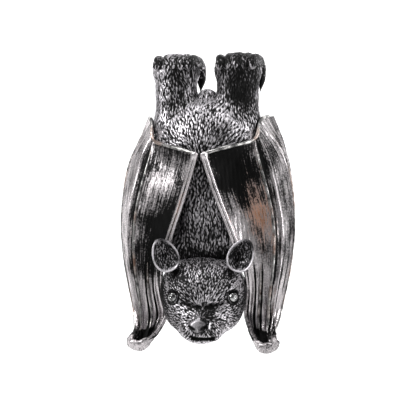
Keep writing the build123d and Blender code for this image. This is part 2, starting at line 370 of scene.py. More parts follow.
def skin(field, top, bottom, cap, rings, columns, reach, frontal):
    # rays from an upright spine find the field's surface within reach; cap is the rough radius of the
    # round ends, and frontal packs the columns closer at the front
    top, bottom = np.array(top, float), np.array(bottom, float)
    straight, quarter = top[2] - bottom[2], cap * math.pi / 2
    travel = np.linspace(0, straight + 2 * quarter, rings + 2)
    lift = np.clip(1 - travel / quarter, 0, 1) - np.clip((travel - quarter - straight) / quarter, 0, 1)
    lift = lift * math.pi / 2
    down = np.clip((travel - quarter) / max(straight, 1e-6), 0, 1)[:, None]
    start = top * (1 - down) + bottom * down
    turn = np.linspace(0, 2 * math.pi, columns, endpoint=False)
    turn = turn - frontal * np.sin(turn)
    flat = np.stack([np.sin(turn), -np.cos(turn), turn * 0], -1)
    rays = np.cos(lift)[:, None, None] * flat + np.sin(lift)[:, None, None] * np.array([0, 0, 1.0])
    start = np.repeat(start[:, None], columns, 1)
    low, high = np.zeros(rays.shape[:2]), np.full(rays.shape[:2], float(reach))
    for _ in range(22):
        half = (low + high) / 2
        inside = field(start + rays * half[..., None]) < 0
        low, high = np.where(inside, half, low), np.where(inside, high, half)
    return start + rays * low[..., None]


def closedTube(grid):
    # points and faces of a grid of rings; the first and the last ring shrink to one point each
    rings, columns = grid.shape[0] - 2, grid.shape[1]
    points = np.vstack([grid[:1].mean(1), grid[1:-1].reshape(-1, 3), grid[-1:].mean(1)])
    index = 1 + np.arange(rings * columns).reshape(rings, columns)
    right = np.roll(index, -1, 1)
    quads = np.stack([index[:-1], index[1:], right[1:], right[:-1]], -1).reshape(-1, 4)
    faces = quads.tolist()
    faces += [(0, int(a), int(b)) for a, b in zip(index[0], right[0])]
    end = len(points) - 1
    faces += [(int(a), end, int(b)) for a, b in zip(index[-1], right[-1])]
    return points, faces


def outward(grid):
    # unit normals of a grid whose rows run down its outer face
    normal = np.cross(np.gradient(grid, axis=0), np.gradient(grid, axis=1))
    return normal / (np.linalg.norm(normal, axis=-1, keepdims=True) + 1e-9)


def perPoint(values, columns):
    # one value for each ring becomes one for each of closedTube's points
    return np.concatenate([values[:1], np.repeat(values[1:-1], columns, 0), values[-1:]])


def thickSheet(grid, thickness):
    # a closed shell: the grid is its outer face, and the inner face lies thickness inwards
    rows, columns = grid.shape[:2]
    inner = grid - outward(grid) * thickness[..., None]
    points = np.vstack([grid.reshape(-1, 3), inner.reshape(-1, 3)])
    front = np.arange(rows * columns).reshape(rows, columns)
    back = front + rows * columns

    def patch(a):
        return np.stack([a[:-1, :-1], a[1:, :-1], a[1:, 1:], a[:-1, 1:]], -1).reshape(-1, 4)

    faces = patch(front).tolist() + patch(back)[:, ::-1].tolist()
    rim = list(front[0]) + list(front[1:, -1]) + list(front[-1, -2::-1]) + list(front[-2:0:-1, 0])
    offset = rows * columns
    for a, b in zip(rim, rim[1:] + rim[:1]):
        faces.append((int(a), int(b), int(b) + offset, int(a) + offset))
    return points, faces


def joined(parts):
    points, faces, count = [], [], 0
    for partPoints, partFaces in parts:
        points.append(partPoints)
        faces += [tuple(i + count for i in face) for face in partFaces]
        count += len(partPoints)
    return np.vstack(points), faces


pieces = []


def makePiece(name, points, faces, material, nodes, slotName, values=None):
    # values has a number or a vector for each point; the materials and the fur read them by name
    mesh = bpy.data.meshes.new(name)
    mesh.from_pydata((np.asarray(points) * mm).tolist(), [], faces)
    mesh.shade_smooth()
    for key, data in (values or {}).items():
        data = np.asarray(data, float)
        kind = "FLOAT_VECTOR" if data.ndim == 2 else "FLOAT"
        layer = mesh.attributes.new(key, kind, "POINT")
        layer.data.foreach_set("vector" if data.ndim == 2 else "value", data.ravel())
    mesh.materials.append(material)
    piece = bpy.data.objects.new(name, mesh)
    bpy.context.scene.collection.objects.link(piece)
    pieces.append((piece, nodes, slotName))
    return piece


furDensity = 3000000.0  # seeds per square metre before the spacing thins them out


def furTree():
    # stamps layers of strokes on a mesh that stores which way its fur is combed
    tree = bpy.data.node_groups.new("furStrokes", "GeometryNodeTree")
    graph = Graph(tree)
    tree.interface.new_socket(name="Mesh", in_out="INPUT", socket_type="NodeSocketGeometry")
    tree.interface.new_socket(name="Mesh", in_out="OUTPUT", socket_type="NodeSocketGeometry")
    for word in ("Length", "Width", "Depth", "Spacing"):
        tree.interface.new_socket(name=word, in_out="INPUT", socket_type="NodeSocketFloat")
    for word in ("Layers", "Seed"):
        tree.interface.new_socket(name=word, in_out="INPUT", socket_type="NodeSocketInt")
    tree.interface.new_socket(name="Material", in_out="INPUT", socket_type="NodeSocketMaterial")
    given = graph.add("NodeGroupInput", None, None, "Mesh")
    place = graph.add("GeometryNodeInputPosition")
    normal = graph.add("GeometryNodeInputNormal")

    def named(word, kind="FLOAT"):
        return graph.add("GeometryNodeInputNamedAttribute", {"data_type": kind}, {"Name": word}, "Attribute")

    def stored(geometry, word, value):
        values = {"Geometry": geometry, "Name": word, "Value": value}
        return graph.add("GeometryNodeStoreNamedAttribute", {"data_type": "FLOAT"}, values)

    opening = tree.nodes.new("GeometryNodeRepeatInput")
    closing = tree.nodes.new("GeometryNodeRepeatOutput")
    opening.pair_with_output(closing)
    tree.links.new(given.also("Layers").socket, opening.inputs["Iterations"])
    tree.links.new(stored(given, "relief", 0.0).socket, opening.inputs["Geometry"])
    mesh, layer = Wire(graph, opening.outputs["Geometry"]), Wire(graph, opening.outputs["Iteration"])
    seed = given.also("Seed") + layer * 7

    points = graph.add("GeometryNodeDistributePointsOnFaces", {"distribute_method": "POISSON"}, {
        "Mesh": mesh, "Distance Min": given.also("Spacing"), "Density Max": furDensity, "Seed": seed,
    })
    luck = graph.add("FunctionNodeRandomValue", None, {"Seed": seed}, "Value_001")
    nearest = graph.add("GeometryNodeSampleNearest", {"domain": "POINT"}, {
        "Geometry": points, "Sample Position": place,
    })

    def atSeed(kind, value):
        values = {"Geometry": points, "Value": value, "Index": nearest}
        return graph.add("GeometryNodeSampleIndex", {"data_type": kind, "domain": "POINT"}, values)

    chance = atSeed("FLOAT", luck)
    combed = atSeed("FLOAT_VECTOR", named("combed", "FLOAT_VECTOR")).vector("NORMALIZE")
    offset = place.vector("SUBTRACT", atSeed("FLOAT_VECTOR", place))
    size = 0.75 + chance * 0.5  # strokes differ in length and, below, in height
    along = offset.dot(combed) / (given.also("Length") * size * 0.5)
    narrowed = (1 - along * 0.5).atLeast(0.2)  # a stroke tapers towards its tip
    across = offset.dot(combed.vector("CROSS_PRODUCT", normal))
    across = across / (given.also("Width") * 0.5 * narrowed)
    height = (1 - along * along - across * across).atLeast(0) ** 0.7 * (0.4 + chance * 0.6)
    relief = named("relief").atLeast(height)
    tree.links.new(stored(mesh, "relief", relief).socket, closing.inputs["Geometry"])

    stamped = Wire(graph, closing.outputs["Geometry"])
    furry = named("furry")
    lift = (named("relief") - 0.5) * given.also("Depth") * furry
    raised = graph.add("GeometryNodeSetPosition", None, {"Geometry": stamped, "Offset": normal.scaled(lift)})
    # where no fur grows, the finish reads the bare value in place of the strokes' height
    shown = named("relief") * furry + (1 - furry) * named("bare")
    real = graph.add("GeometryNodeRealizeInstances", None, {0: stored(raised, "relief", shown)})
    coated = graph.add("GeometryNodeSetMaterial", None, {
        "Geometry": real, "Material": given.also("Material"),
    })
    graph.add("NodeGroupOutput", None, {"Mesh": coated})
    return tree


furGroup = furTree()


def growFur(piece, style, seed):
    modifier = piece.modifiers.new("fur", "NODES")
    modifier.node_group = furGroup
    values = dict(style, Seed=seed, Material=piece.data.materials[0])
    for item in furGroup.interface.items_tree:
        if item.in_out == "INPUT" and item.name in values:
            modifier[item.identifier] = values[item.name]
    graph = bpy.context.evaluated_depsgraph_get()
    mesh = bpy.data.meshes.new_from_object(piece.evaluated_get(graph), depsgraph=graph)
    piece.modifiers.clear()
    old, piece.data = piece.data, mesh
    bpy.data.meshes.remove(old)
    mesh.name = piece.name
    mesh.shade_smooth()


def furStyle(length, width, depth, spacing, layers):
    words = ("Length", "Width", "Depth", "Spacing")
    style = {word: float(value) * mm for word, value in zip(words, (length, width, depth, spacing))}
    return dict(style, Layers=layers)


torso = {
    "hips": ((0, bodyY + 1.5, -41), (29.0, 21.5, 27.0)),
    "chest": ((0, bodyY + 1.0, -72), (27.0, 18.0, 38.0)),
    "tail": ((0, bodyY + 1.5, -16.0), (6.0, 5.0, 6.8)),
    "slimmer": 2.6,  # how much is taken off each side under the wings
    "rings": 310, "columns": 270,
    "fur": furStyle(length=2.9, width=0.76, depth=0.8, spacing=1.7, layers=7),
}
flatBack = backY - 0.15  # a hair inside the flat back of the CAD torso


def hipsField(p):
    # wide at the hips, and slimmer where the folded wings lie over it
    f = fuse(ball(p, *torso["hips"], 2.1), ball(p, *torso["chest"], 2.5), 5)
    slim = smooth(-p[..., 2], 40, 50) * (1 - smooth(-p[..., 2], 74, 92))
    return f + torso["slimmer"] * slim * smooth(np.abs(p[..., 0]), 7, 14)


def torsoField(p):
    return np.maximum(fuse(hipsField(p), ball(p, *torso["tail"]), 2.5), p[..., 1] - flatBack)


def makeTorso():
    top, bottom = (0, bodyY, -30), (0, bodyY, -92)
    grid = skin(torsoField, top, bottom, 20, torso["rings"], torso["columns"], reach=60, frontal=0.55)
    points, faces = closedTube(grid)
    x, z = points[:, 0], points[:, 2]
    # on the hips the coat is combed towards the middle, and lower down it hangs straight
    inward = np.stack([-x, x * 0, np.minimum(-52 - z, -9.0)], -1)
    inward /= np.linalg.norm(inward, axis=-1, keepdims=True)
    straight = np.stack([0.45 * sway(points, 6.0, 1.0), x * 0, -np.ones_like(x)], -1)
    hanging = smooth(-z, 40, 54)[:, None]
    combed = inward * (1 - hanging) + straight * hanging
    combed[:, 0] += 0.18 * sway(points, 3.0, 2.0)
    flat = smooth(points[:, 1], backY - 3.5, backY - 0.5)
    # painted shade round the waist, between the arms, and at the torso's lower end, where the head meets it
    waistShade = 0.2 * bell((z + 54) / 7) * smooth(-z, 42, 50)
    tone = 0.86 - waistShade - 0.5 * smooth(-z, 90, 98) + 0.12 * sway(points, 7.0)
    piece = makePiece("torso", points, faces, furMetal, ["torso_shell"], "fur_silver", {
        "combed": combed, "furry": 1 - flat, "bare": 0.35 + 0 * x, "tone": tone,
    })
    growFur(piece, torso["fur"], 11)


makeTorso()
print("torso made")

leg = {
    "railGap": 4.75,  # radius kept free round the rail
    "thighTop": -14, "pastBack": 8,  # above the thigh the foot may stand this far behind the flat back
    "limit": 14.5,  # nothing of the leg lies further from its axis
    "rings": 120, "columns": 190,
    "fur": furStyle(length=2.8, width=0.78, depth=0.8, spacing=1.65, layers=7),
}


def legField(p, side):
    # the thigh melts into the hips, and what lies inside them is cut short
    x = side * legX
    f = rod(p, (x, bodyY + 1, -26), (x, bodyY, -10), 11.6, 9.6)
    f = fuse(f, rod(p, (x, bodyY, -10), (x, bodyY + 0.3, -1.0), 9.6, 10.8), 5)
    f = fuse(f, ball(p, (x, bodyY + 0.5, 0.8), (11.9, 10.8, 6.6), 2.6), 3)
    f = fuse(f, hipsField(p) + 0.5, 6)
    f = np.maximum(f, rod(p, (x, bodyY, -24), (x, bodyY, 10), leg["limit"], leg["limit"]))
    f = carve(f, np.hypot(p[..., 1], p[..., 2]) - leg["railGap"], 0.8)
    return np.maximum(f, p[..., 1] - flatBack - leg["pastBack"] * (p[..., 2] > leg["thighTop"]))


def makeLeg(side, name):
    middleX = side * legX
    top, bottom = (middleX, bodyY, -1), (middleX, bodyY, -24)

    def field(p):
        return legField(p, side)

    grid = skin(field, top, bottom, 11, leg["rings"], leg["columns"], reach=30, frontal=0.4)
    points, faces = closedTube(grid)
    out, y, z = points[:, 0] - middleX, points[:, 1], points[:, 2]
    combed = np.stack([0.5 * sway(points, 2.6, side) + 0.03 * out, 0 * z, -np.ones_like(z)], -1)
    flat = smooth(y, backY - 3.5, backY - 0.8) * (1 - smooth(z, -17, -13))
    # a band of painted shade runs down the front; the left leg is painted lighter on its outer side, as if
    # lit, and the right one painted darker all over, as shade
    frontShade = 0.36 * bell((out - 3.0) / 6.5) * smooth(-y, -bodyY, 6 - bodyY)
    lit = 0.22 * smooth(-out, 0, 6) if side < 0 else -0.22
    tone = 0.9 - (frontShade - lit) * smooth(z, -26, -15) + 0.15 * sway(points, 4.0, side)
    piece = makePiece(f"{name}Leg", points, faces, furMetal, [f"{name}_leg"], "fur_silver", {
        "combed": combed, "furry": 1 - flat, "bare": 0.35 * flat, "tone": tone,
    })
    growFur(piece, leg["fur"], 31 + side)


for side, name in sides:
    makeLeg(side, name)
print("legs made")


def spline(keys, values, at):
    # natural cubic through the values at the keys, which may be points
    keys, values = np.asarray(keys, float), np.asarray(values, float)
    n, h = len(keys), np.diff(keys)
    shape = (n,) + (1,) * (values.ndim - 1)
    slope = np.diff(values, axis=0) / h.reshape((n - 1,) + shape[1:])
    matrix, right = np.eye(n), np.zeros_like(values)
    for i in range(1, n - 1):
        matrix[i, i - 1 : i + 2] = h[i - 1], 2 * (h[i - 1] + h[i]), h[i]
        right[i] = 6 * (slope[i] - slope[i - 1])
    bend = np.linalg.solve(matrix, right.reshape(n, -1)).reshape(values.shape)
    at = np.asarray(at, float)
    i = np.clip(np.searchsorted(keys, at, side="right") - 1, 0, n - 2)
    t = (at - keys[i]).reshape(at.shape + shape[1:])
    hi = h[i].reshape(t.shape)
    first = slope[i] - hi * (2 * bend[i] + bend[i + 1]) / 6
    return values[i] + first * t + bend[i] / 2 * t**2 + (bend[i + 1] - bend[i]) / (6 * hi) * t**3


def tube(path, radius, steps, columns, shape=None):
    # a closed tube along a smooth path; radius is a function of the share along it, and shape turns
    # the angle round the section and the share into a factor on the radius
    share = np.linspace(0, 1, steps)
    line = spline(np.linspace(0, 1, len(path)), path, share)
    run = np.gradient(line, axis=0)
    run /= np.linalg.norm(run, axis=-1, keepdims=True)
    side = np.cross(run, np.array([0, -1.0, 0]))
    side /= np.linalg.norm(side, axis=-1, keepdims=True) + 1e-9
    out = np.cross(side, run)
    turn = np.linspace(0, 2 * math.pi, columns, endpoint=False)
    size = np.array([radius(s) for s in share])[:, None] * np.ones(columns)
    if shape is not None:
        size = size * shape(turn[None, :], share[:, None])
    section = side[:, None] * np.cos(turn)[None, :, None] + out[:, None] * np.sin(turn)[None, :, None]
    rings = line[:, None] + section * size[..., None]
    # each end bulges by a share of its radius
    first = line[:1, None] - run[:1, None] * size[:1].mean() * 0.6
    last = line[-1:, None] + run[-1:, None] * size[-1:].mean() * 0.6
    return np.concatenate([np.repeat(first, columns, 1), rings, np.repeat(last, columns, 1)])


toe = {
    # y and z from the foot's front, over the rail and down behind it to the claw's point
    "path": ((-26.5, 1.0), (-23.5, 5.0), (-16, 7.2), (-8, 7.7), (0, 7.6), (6.3, 5.4), (8.6, 0.2),
             (7.6, -4.6), (6.2, -8.6)),
    "count": 5, "apart": 4.75, "steps": 70, "columns": 26,
    "fur": furStyle(length=2.2, width=0.8, depth=0.5, spacing=1.5, layers=6),
}


def toeRadius(share):
    # two knuckles, and a claw that runs to a point
    claw = smooth(share, 0.78, 1.0)
    body = 2.35 + 0.4 * bell((share - 0.42) / 0.1) + 0.45 * bell((share - 0.66) / 0.09)
    return body * (1 - claw) + 0.25 * claw


def makeToes(side, name):
    parts, runs, shares = [], [], []
    for number in range(toe["count"]):
        fan = number - (toe["count"] - 1) // 2
        x = side * legX + fan * toe["apart"]
        rise = 0.9 - 0.4 * fan * fan  # the middle toe arches highest
        path = [
            (x - fan * 0.5 * (i < 2), y, z + rise * bell((y + 8) / 9)) for i, (y, z) in enumerate(toe["path"])
        ]
        grid = tube(path, toeRadius, toe["steps"], toe["columns"])
        parts.append(closedTube(grid))
        run = np.gradient(grid.mean(1), axis=0)
        runs.append(perPoint(run, toe["columns"]))
        shares.append(perPoint(np.linspace(0, 1, len(grid)), toe["columns"]))
    points, faces = joined(parts)
    along = np.concatenate(shares)
    # the right toes are painted darker than the left ones, as shade
    piece = makePiece(f"{name}Toes", points, faces, furMetal, [f"{name}_toes"], "fur_silver", {
        "combed": np.vstack(runs), "furry": 1 - smooth(along, 0.76, 0.82), "bare": 0.25 + 0 * along,
        "tone": (0.85 if side < 0 else 0.6) + 0 * along,
    })
    growFur(piece, toe["fur"], 51 + side)


for side, name in sides:
    makeToes(side, name)
print("toes made")

head = {
    "centre": np.array([0, bodyY - 11.3, headZ + 2.0]), "turn": math.radians(8),
    "eye": np.array([15.2, -13.6, 1.4]), "eyeRadius": 2.7, "socket": 3.4, "gaze": (0.5, -0.86, 0.08),
    "pad": (4.0, 3.3, -2.4, -12.6),  # the nose: half width, half height, and its middle's x and z
    "mouth": -19.5, "mouthBend": 0.035,
    "rings": 270, "columns": 330,
    "fur": furStyle(length=2.1, width=0.68, depth=0.55, spacing=1.35, layers=7),
    # patches of tone, mostly painted light and shade: how strong, the centre's x and z, half width and half
    # height; paired ones lie on both halves
    "pairedSpots": ((0.14, 8, -8, 6, 6), (-0.35, 14.5, 14, 4, 4)),
    "spots": ((0.25, -8, -8.5, 5, 4.5), (0.3, -0.8, -17.7, 3.5, 0.9), (-0.3, 4.5, -6.5, 4.5, 4)),
}


def turned(a, b, angle):
    c, s = math.cos(angle), math.sin(angle)
    return a * c - b * s, a * s + b * c


def headToWorld(p):
    x, y = turned(p[..., 0], p[..., 1], head["turn"])
    return np.stack([x, y, p[..., 2]], -1) + head["centre"]


def eyeAxis(side):
    return np.array(head["gaze"]) * (side, 1, 1)


def browHollow(x, z):
    # a groove from the bridge of the nose out to under the brow; it narrows on the way
    run = np.clip(((x - 1.5) * 9 + (z + 3.5) * 2.0) / 85, 0, 1)
    return bell(np.hypot(x - 1.5 - 9 * run, z + 3.5 - 2.0 * run) / (1.35 - 0.4 * run))


def nosePad(p):
    # 0 at the middle of the pad and 1 on its outline
    wide, tall, aside, height = head["pad"]
    x, z = p[..., 0] - aside, p[..., 2] - height
    return np.hypot(x / (wide * (1 + 0.06 * z)), z / tall)


def nostrils(p):
    aside, height = head["pad"][2:]
    out = np.abs(p[..., 0] - aside)
    return bell(np.hypot((out - 2.8) / 1.1, (p[..., 2] - height + 0.9 - 0.5 * (out - 2.8)) / 0.65))


def mouthLine(p):
    # height above the line of the mouth, which rises towards its corners
    x = p[..., 0] - 0.4
    return p[..., 2] - head["mouth"] - head["mouthBend"] * x * x


def headField(p):
    half = np.where(p[..., :1] < 0, p * (-1, 1, 1), p)  # paired features are worked out on one side
    x, y, z = half[..., 0], half[..., 1], half[..., 2]
    f = ball(p, (0, 2, 4.5), (22.6, 20, 16.8), 2.1)
    f = fuse(f, ball(half, (8.0, -2.5, -5), (12.3, 13.5, 13)), 5)  # cheeks
    f = fuse(f, ball(p, (-1.2, -11.5, -12.0), (11.3, 10.3, 10.0)), 5)  # muzzle
    f = fuse(f, ball(p, (-0.6, -8.0, -16.3), (9.8, 9.0, 6.4)), 3)  # jaw
    f = fuse(f, rod(half, (4.5, -15.5, 1.5), (15, -12.2, 6.2), 2.6, 2.2), 3)  # brows
    f = fuse(f, rod(half, (12.5, -4, 14), (18.5, -6, 19.5), 4.5, 2.5), 4)  # roots of the ears
    f = fuse(f, ball(half, (5.0, -16.5, -15.5), (5.0, 5.5, 5.0)), 2.5)  # upper lip
    eye, axis = head["eye"], eyeAxis(1)
    f = carve(f, ball(half, eye, (head["socket"],) * 3), 0.8)
    lid = eye + (half - eye) * (0.95, 1, 1.2) + (0, 0, 0.22) * (eye[0] - x)[..., None]  # slants the lids
    f = fuse(f, ring(lid, eye + axis * 0.8, axis, 3.1, 0.62), 0.5)
    # the hollow under each brow, the nose pad, nostrils and the line of the mouth
    f = f + 0.9 * browHollow(x, z) * (y < -8)
    pad, front = nosePad(p), smooth(-y, 13, 16)
    f = f - 1.3 * smooth(-pad, -1.1, -0.75) * front + 0.8 * bell((pad - 1.3) / 0.18) * front
    f = f + 2.0 * nostrils(p) * front
    cleft = p[..., 0] - head["pad"][2] - 0.25 * (head["pad"][3] - z)
    f = f + 0.8 * bell(cleft / 0.45) * smooth(-z, 13, 14) * (1 - smooth(-z, 19, 20)) * front
    f = f + 1.9 * bell(mouthLine(p) / 0.7) * smooth(-x, -7.2, -5.2) * (y < -6)
    return np.maximum(f, headToWorld(p)[..., 1] - (headBack - 0.1))


def makeHead():
    top, bottom = (0, -2, 0.01), (0, -2, 0)
    grid = skin(headField, top, bottom, 20, head["rings"], head["columns"], reach=45, frontal=0.5)
    points, faces = closedTube(grid)
    x, y, z = np.abs(points[:, 0]), points[:, 1], points[:, 2]
    combed = points - (0, -24, -9)  # away from a place in front of the nose
    combed[:, 0] += 1.6 * sway(points, 2.2)
    combed[:, 2] += 1.6 * sway(points, 2.2, 5.0)
    pad = nosePad(points)
    eyeAway = np.linalg.norm(np.stack([x, y, z], -1) - head["eye"], axis=-1)
    front = smooth(-y, 12, 15)
    bald = np.maximum(smooth(-pad, -1.2, -1.0) * front, 1 - smooth(eyeAway, 3.7, 4.5))
    lip = bell(mouthLine(points)) * smooth(-x, -7.2, -5.2) * front
    mouth = smooth(lip, 0.2, 0.6)
    bald = np.maximum(bald, mouth)
    # the tone paints shade into the brow hollows, and its spots paint shade under the ears and on the right
    # of the muzzle and light on the left of the muzzle
    tone = 0.8 - 0.4 * browHollow(x, z) * front - 0.85 * lip + 0.2 * sway(points, 5.0)
    tone += spots(x, z, head["pairedSpots"]) + spots(points[:, 0], z, head["spots"])
    tone += 0.12 * smooth(-z, 3, 9) - 0.45 * smooth(x, 19, 22.5)
    # the pad is worn bright, and black lies in the nostrils, round the pad and in the mouth
    bare = 0.72 - 0.9 * nostrils(points) * front - 0.6 * bell((pad - 1.2) / 0.15)
    bare = bare * (1 - mouth)
    bare = np.where(eyeAway < 4.8, 0.05 + 0.6 * bell((eyeAway - 3.5) / 0.4), bare)  # lids and sockets
    piece = makePiece("head", headToWorld(points), faces, furMetal, ["head_shell"], "fur_silver", {
        "combed": combed, "furry": (1 - bald) * (1 - smooth(y, 12, 13.5)), "bare": np.clip(bare, 0, 1),
        "tone": np.clip(tone, 0.05, 1),
    })
    growFur(piece, head["fur"], 71)


makeHead()
print("head made")


def makeEye(side, name):
    # a glossy ball with a groove round the iris and a sunk pupil
    axis = eyeAxis(side)
    across = np.cross(axis, (0, 0, 1.0))
    across /= np.linalg.norm(across)
    axis = axis / np.linalg.norm(axis)
    up = np.cross(across, axis)
    tilt = np.linspace(0, math.pi, 34)[:, None, None]
    turn = np.linspace(0, 2 * math.pi, 48, endpoint=False)[None, :, None]
    iris, pupil = 0.07 * bell((tilt - 0.62) / 0.07), 0.10 * bell(tilt / 0.24)
    away = head["eyeRadius"] * (1 - iris - pupil)
    sideways = np.cos(turn) * across + np.sin(turn) * up
    grid = head["eye"] * (side, 1, 1) + away * (np.cos(tilt) * axis + np.sin(tilt) * sideways)
    points, faces = closedTube(grid)
    makePiece(f"{name}Eye", headToWorld(points), faces, eyeMetal, [f"{name}_eye"], "eye_silver")


ear = {
    "centre": np.array([19.2, -13.8, 22.2]), "width": 6.4, "height": 8.6, "depth": 4.6, "wall": 0.8,
    "lean": 0.42, "face": 0.12,  # radians: the tip leans outwards, and the cup turns in to the face
    "rings": 46, "columns": 130,
    "fur": furStyle(length=1.9, width=0.7, depth=0.4, spacing=1.3, layers=6),
}


def makeEar(side, name):
    # a cup whose outline is an egg with the narrow end up
    turn = np.linspace(0, 2 * math.pi, ear["columns"], endpoint=False)[None, :]
    shares = np.linspace(0, 1, ear["rings"])[:, None]  # from the cup's bottom to its rim

    def bowl(share, grow, sunk):
        wide = (ear["width"] + grow) * np.sin(turn) * (1 - 0.10 * np.cos(turn))
        tall = (ear["height"] + grow) * np.cos(turn) * (1 + 0.07 * np.cos(turn))
        depth = sunk * (1 - share**2.4)
        fold = 0.5 * bell((turn - math.pi) / 0.5) * bell((share - 0.6) / 0.25)
        return np.stack([wide * share, depth + fold, tall * share], -1)

    inside = bowl(shares, -ear["wall"] / 2, ear["depth"])
    rim = bowl(np.ones((1, 1)), 0.15, 0) - (0, 0.55, 0)
    outside = bowl(shares[::-1], ear["wall"] / 2, ear["depth"] + ear["wall"])
    outside[0, :, 1] += 0.25
    grid = np.concatenate([inside, rim, outside])
    grid[..., 0] *= -1  # turns the faces outwards
    points, faces = closedTube(grid)
    ringNumber = perPoint(np.arange(len(grid)), ear["columns"])
    onRim = bell((ringNumber - ear["rings"]) / 3.2)
    y, x = turned(points[:, 1], points[:, 0], ear["face"])
    z, x = turned(points[:, 2], x, ear["lean"])
    points = (np.stack([x, y, z], -1) + ear["centre"]) * (side, 1, 1)
    if side < 0:
        faces = [face[::-1] for face in faces]
    tone = np.where(ringNumber < ear["rings"] - 2, 0.6, 0.75) * (1 - onRim) + onRim
    piece = makePiece(f"{name}Ear", headToWorld(points), faces, furMetal, [f"{name}_ear"], "fur_silver", {
        "combed": np.array([(0, 0, -1)] * len(points)), "furry": np.clip(1 - 1.2 * onRim, 0, 1),
        "bare": 0.8 + 0.3 * sway(points, 3.2, side), "tone": tone,
    })
    growFur(piece, ear["fur"], 91 + side)


for side, name in sides:
    makeEye(side, name)
    makeEar(side, name)
print("eyes and ears made")

# lengthwise lines of the right wing, from the top hem to the curled lip of the tip: x, the distance
# behind the plane of the legs, and z
wingLines = {
    "arm": (
        (1.9, -24.6, -45), (4.2, -23.8, -52), (6.7, -22.6, -60), (10.2, -21.2, -70), (13.9, -19.4, -80),
        (17.8, -17.4, -91), (21.8, -12.8, -104), (22.8, -8.5, -117), (21.4, -5, -127),
        (22.4, -5.5, -132), (25, -9, -137), (28, -15, -140.6), (28.6, -20.5, -140),
    ),
    "finger": (
        (26.8, -10.2, -36.8), (28.8, -11.4, -46), (31.6, -12.2, -56.5), (34.6, -12.4, -68),
        (36.6, -12.4, -80), (37.1, -12.4, -92), (36.3, -12, -105), (34.6, -10.8, -118), (33.8, -9.8, -128),
        (33.6, -11, -134.6), (33.2, -13.5, -139.4), (33, -17.5, -143.2), (32.6, -22.5, -142.2),
    ),
    "flank": (
        (29.3, -3.5, -26.5), (39.4, 0.5, -41), (44, 1, -54.5), (46, 0.8, -68), (46.6, 0, -80),
        (46, 0, -92), (44.3, -0.5, -105), (41.6, -0.8, -118), (39.5, -1.5, -128),
        (38, -6.5, -134.2), (37.2, -11, -138.6), (36.6, -16.5, -142.2), (36.4, -21.5, -141),
    ),
    "back": (
        (34.6, 12, -23), (41, 12, -40), (42.8, 12, -54), (44, 12, -67), (44.4, 12, -80),
        (43.8, 12, -92), (42.1, 11.8, -105), (39.3, 10, -117), (37, 7.5, -126),
        (36.6, 1.5, -131), (36.6, -4, -135.2), (36.8, -10.5, -138.6), (36.8, -15.5, -139),
    ),
}
wing = {
    "shares": (0, 0.24, 0.47, 0.62, 0.77, 1),  # where each lengthwise line lies across the web
    "rows": 250, "columns": 132, "wall": 1.7, "width": 53.0, "length": 125.0,
    "ridges": (0.0, 0.47, 0.56, 0.77, 0.88, 1.0), "pleats": (0.13, 0.27, 0.66),
    "rimStops": (0.95, 0.9, 0.83, 0.75, 0.66, 0.57, 0.5),  # where the tip's rim passes up the inner edge
    # spots of painted light and shade for each side: how strong, the centre across and along, and the two
    # half sizes
    "spots": {
        -1: ((0.14, 0.27, 0.17, 0.17, 0.17), (-0.35, 0.15, 0.4, 0.14, 0.12)),
        1: ((-0.55, 0.22, 0.12, 0.2, 0.2), (0.4, 0.12, 0.42, 0.12, 0.14), (0.25, 0.36, 0.32, 0.13, 0.13)),
    },
    "copperSpot": ((1.25, 0.33, 0.29, 0.15, 0.16),),
}


def wingSurface(share, along):
    # a point for each pair of share across, 0 to 1, and along, 0 to 1
    lines = {key: np.array(value, float) for key, value in wingLines.items()}
    for value in lines.values():
        value[:, 1] += bodyY
    keys = np.linspace(0, 1, len(lines["arm"]))
    # the web sinks between the arm and the finger, and swells between the finger and the flank
    sunk = (lines["arm"] + lines["finger"]) / 2
    sunk[:, 1] += np.interp(keys, (0, 0.06, 0.35, 0.7, 1), (0, 1.3, 1.5, 0.6, 0))
    sunk[0] = (14.5, bodyY - 20.0, -41.2)
    swollen = (lines["finger"] + lines["flank"]) / 2
    bulge = np.interp(keys, (0, 0.1, 0.6, 0.8, 1), (0.5, 2.4, 2.4, 1.5, 0.5))
    swollen += np.stack([0.7 * bulge, -0.7 * bulge, 0 * bulge], -1)
    order = (lines["arm"], sunk, lines["finger"], swollen, lines["flank"], lines["back"])
    rows = [spline(keys, line, along) for line in order]
    return spline(wing["shares"], np.array(rows), share)


def scallop(share, ridges):
    # 0 on the ridges and 1 midway between two of them
    ridges = np.array(ridges)
    i = np.clip(np.searchsorted(ridges, share, side="right") - 1, 0, len(ridges) - 2)
    t = (share - ridges[i]) / (ridges[i + 1] - ridges[i])
    return np.sin(np.pi * np.clip(t, 0, 1))


def ridgeLines(s, places, width):
    return sum(bell((s - place) / width) for place in places)


